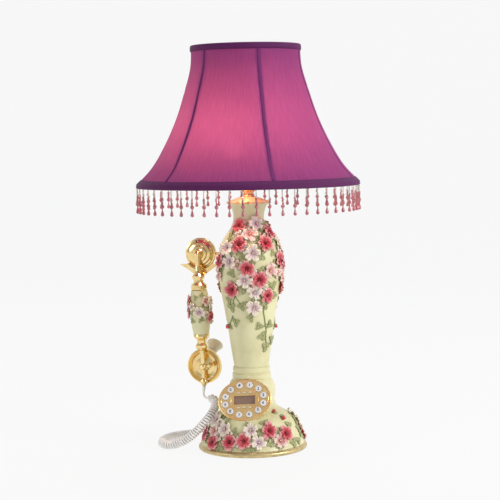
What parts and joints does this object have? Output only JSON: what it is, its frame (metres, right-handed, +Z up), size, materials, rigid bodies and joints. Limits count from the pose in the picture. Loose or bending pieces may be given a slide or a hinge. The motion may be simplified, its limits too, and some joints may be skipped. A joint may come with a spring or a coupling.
{
  "type": "lamp telephone",
  "caption": "Table lamp with a bell shade and bead fringe that is also a corded push-button telephone, its handset hanging on a fork beside the vase.",
  "frame": {"origin": "centre of the face that the lamp stands on", "axes": "+Z up the lamp's axis, -Y out of the front towards the user of the keys, handset on the -X side"},
  "size_m": [0.3534, 0.3534, 0.634],
  "materials": {
    "cream_resin": "satin lime-cream paint over cast resin",
    "gold_paint": "soft gold paint",
    "polished_brass": "polished gold plate",
    "painted_flowers": "hand-painted applied flowers and leaves",
    "satin": "purple satin over a stiff lining",
    "satin_trim": "folded dark purple satin band",
    "beads": "rose glass beads on clear thread",
    "steel": "zinc-plated steel",
    "iron": "rough ballast casting",
    "felt": "green felt",
    "dark_plastic": "moulded plastic",
    "cream_plastic": "moulded cream plastic",
    "clear_plastic": "clear moulded plug",
    "key_white": "glossy white key",
    "lcd_glass": "display window",
    "bulb_glass": "frosted bulb",
    "rubber": "silicone key mat",
    "circuit_board": "printed circuit board",
    "cord_jacket": "white vinyl jacket"
  },
  "bodies": {
    "base": {"ballast_plate": "iron", "base_rim": "gold_paint", "base_shell": "cream_resin", "bead_fringe": "beads", "bottom_cover": "dark_plastic", "bulb_cap": "steel", "bulb_glass": "bulb_glass", "cord_coil": "cord_jacket", "cord_plug": "clear_plastic", "cord_tails": "cord_jacket", "cover_screws": "steel", "dial_plate": "polished_brass", "felt_pad": "felt", "foot_flowers": "painted_flowers", "hook_bracket": "steel", "hook_escutcheon": "polished_brass", "hook_pin": "steel", "hook_switch": "dark_plastic", "key_membrane": "rubber", "lamp_pipe": "steel", "lamp_socket": "polished_brass", "lcd_lens": "lcd_glass", "lcd_module": "dark_plastic", "main_board": "circuit_board", "pipe_nuts": "steel", "rear_sockets": "dark_plastic", "ringer": "dark_plastic", "shade_fabric": "satin", "shade_frame": "steel", "shade_trims": "satin_trim", "vase_body": "cream_resin", "vase_cap": "gold_paint", "vase_flowers": "painted_flowers"},
    "handset": {"earpiece_shell": "polished_brass", "earpiece_cap": "polished_brass", "handset_capsules": "dark_plastic", "handset_fittings": "polished_brass", "handset_grip": "cream_resin", "grip_flowers": "painted_flowers", "mouthpiece_disc": "polished_brass", "mouthpiece_horn": "cream_plastic"},
    "hook_lever": {"hook_lever": "polished_brass"},
    "key_1": {"key_1": "key_white"},
    "key_2": {"key_2": "key_white"},
    "key_3": {"key_3": "key_white"},
    "key_4": {"key_4": "key_white"},
    "key_5": {"key_5": "key_white"},
    "key_6": {"key_6": "key_white"},
    "key_7": {"key_7": "key_white"},
    "key_8": {"key_8": "key_white"},
    "key_9": {"key_9": "key_white"},
    "key_star": {"key_star": "key_white"},
    "key_0": {"key_0": "key_white"},
    "key_hash": {"key_hash": "key_white"},
    "key_flash": {"key_flash": "key_white"},
    "key_redial": {"key_redial": "key_white"},
    "key_mute": {"key_mute": "key_white"},
    "key_down": {"key_down": "key_white"},
    "key_set": {"key_set": "key_white"},
    "key_up": {"key_up": "key_white"}
  },
  "joints": [
    {"name": "handset_lift", "type": "slide", "parent": "base", "child": "handset", "axis": [0, -0.9781, 0.2079], "range_m": [0, 0.12]},
    {"name": "hook_rise", "type": "hinge", "parent": "base", "child": "hook_lever", "pos_m": [-0.02771, 0.016, 0.305], "axis": [0.5, 0.866, 0], "range_deg": [0, 3]},
    {"name": "key_1_press", "type": "slide", "parent": "base", "child": "key_1", "axis": [0, 0.91, -0.4147], "range_m": [0, 0.0012], "stiffness_N_per_m": 200},
    {"name": "key_2_press", "type": "slide", "parent": "base", "child": "key_2", "axis": [0, 0.91, -0.4147], "range_m": [0, 0.0012], "stiffness_N_per_m": 200},
    {"name": "key_3_press", "type": "slide", "parent": "base", "child": "key_3", "axis": [0, 0.91, -0.4147], "range_m": [0, 0.0012], "stiffness_N_per_m": 200},
    {"name": "key_4_press", "type": "slide", "parent": "base", "child": "key_4", "axis": [0, 0.91, -0.4147], "range_m": [0, 0.0012], "stiffness_N_per_m": 200},
    {"name": "key_5_press", "type": "slide", "parent": "base", "child": "key_5", "axis": [0, 0.91, -0.4147], "range_m": [0, 0.0012], "stiffness_N_per_m": 200},
    {"name": "key_6_press", "type": "slide", "parent": "base", "child": "key_6", "axis": [0, 0.91, -0.4147], "range_m": [0, 0.0012], "stiffness_N_per_m": 200},
    {"name": "key_7_press", "type": "slide", "parent": "base", "child": "key_7", "axis": [0, 0.91, -0.4147], "range_m": [0, 0.0012], "stiffness_N_per_m": 200},
    {"name": "key_8_press", "type": "slide", "parent": "base", "child": "key_8", "axis": [0, 0.91, -0.4147], "range_m": [0, 0.0012], "stiffness_N_per_m": 200},
    {"name": "key_9_press", "type": "slide", "parent": "base", "child": "key_9", "axis": [0, 0.91, -0.4147], "range_m": [0, 0.0012], "stiffness_N_per_m": 200},
    {"name": "key_star_press", "type": "slide", "parent": "base", "child": "key_star", "axis": [0, 0.91, -0.4147], "range_m": [0, 0.0012], "stiffness_N_per_m": 200},
    {"name": "key_0_press", "type": "slide", "parent": "base", "child": "key_0", "axis": [0, 0.91, -0.4147], "range_m": [0, 0.0012], "stiffness_N_per_m": 200},
    {"name": "key_hash_press", "type": "slide", "parent": "base", "child": "key_hash", "axis": [0, 0.91, -0.4147], "range_m": [0, 0.0012], "stiffness_N_per_m": 200},
    {"name": "key_flash_press", "type": "slide", "parent": "base", "child": "key_flash", "axis": [0, 0.91, -0.4147], "range_m": [0, 0.0012], "stiffness_N_per_m": 200},
    {"name": "key_redial_press", "type": "slide", "parent": "base", "child": "key_redial", "axis": [0, 0.91, -0.4147], "range_m": [0, 0.0012], "stiffness_N_per_m": 200},
    {"name": "key_mute_press", "type": "slide", "parent": "base", "child": "key_mute", "axis": [0, 0.91, -0.4147], "range_m": [0, 0.0012], "stiffness_N_per_m": 200},
    {"name": "key_down_press", "type": "slide", "parent": "base", "child": "key_down", "axis": [0, 0.91, -0.4147], "range_m": [0, 0.0012], "stiffness_N_per_m": 200},
    {"name": "key_set_press", "type": "slide", "parent": "base", "child": "key_set", "axis": [0, 0.91, -0.4147], "range_m": [0, 0.0012], "stiffness_N_per_m": 200},
    {"name": "key_up_press", "type": "slide", "parent": "base", "child": "key_up", "axis": [0, 0.91, -0.4147], "range_m": [0, 0.0012], "stiffness_N_per_m": 200}
  ],
  "couplings": [
    {"joint": "hook_rise", "follows": "handset_lift", "rad_per_m": 0.43}
  ]
}
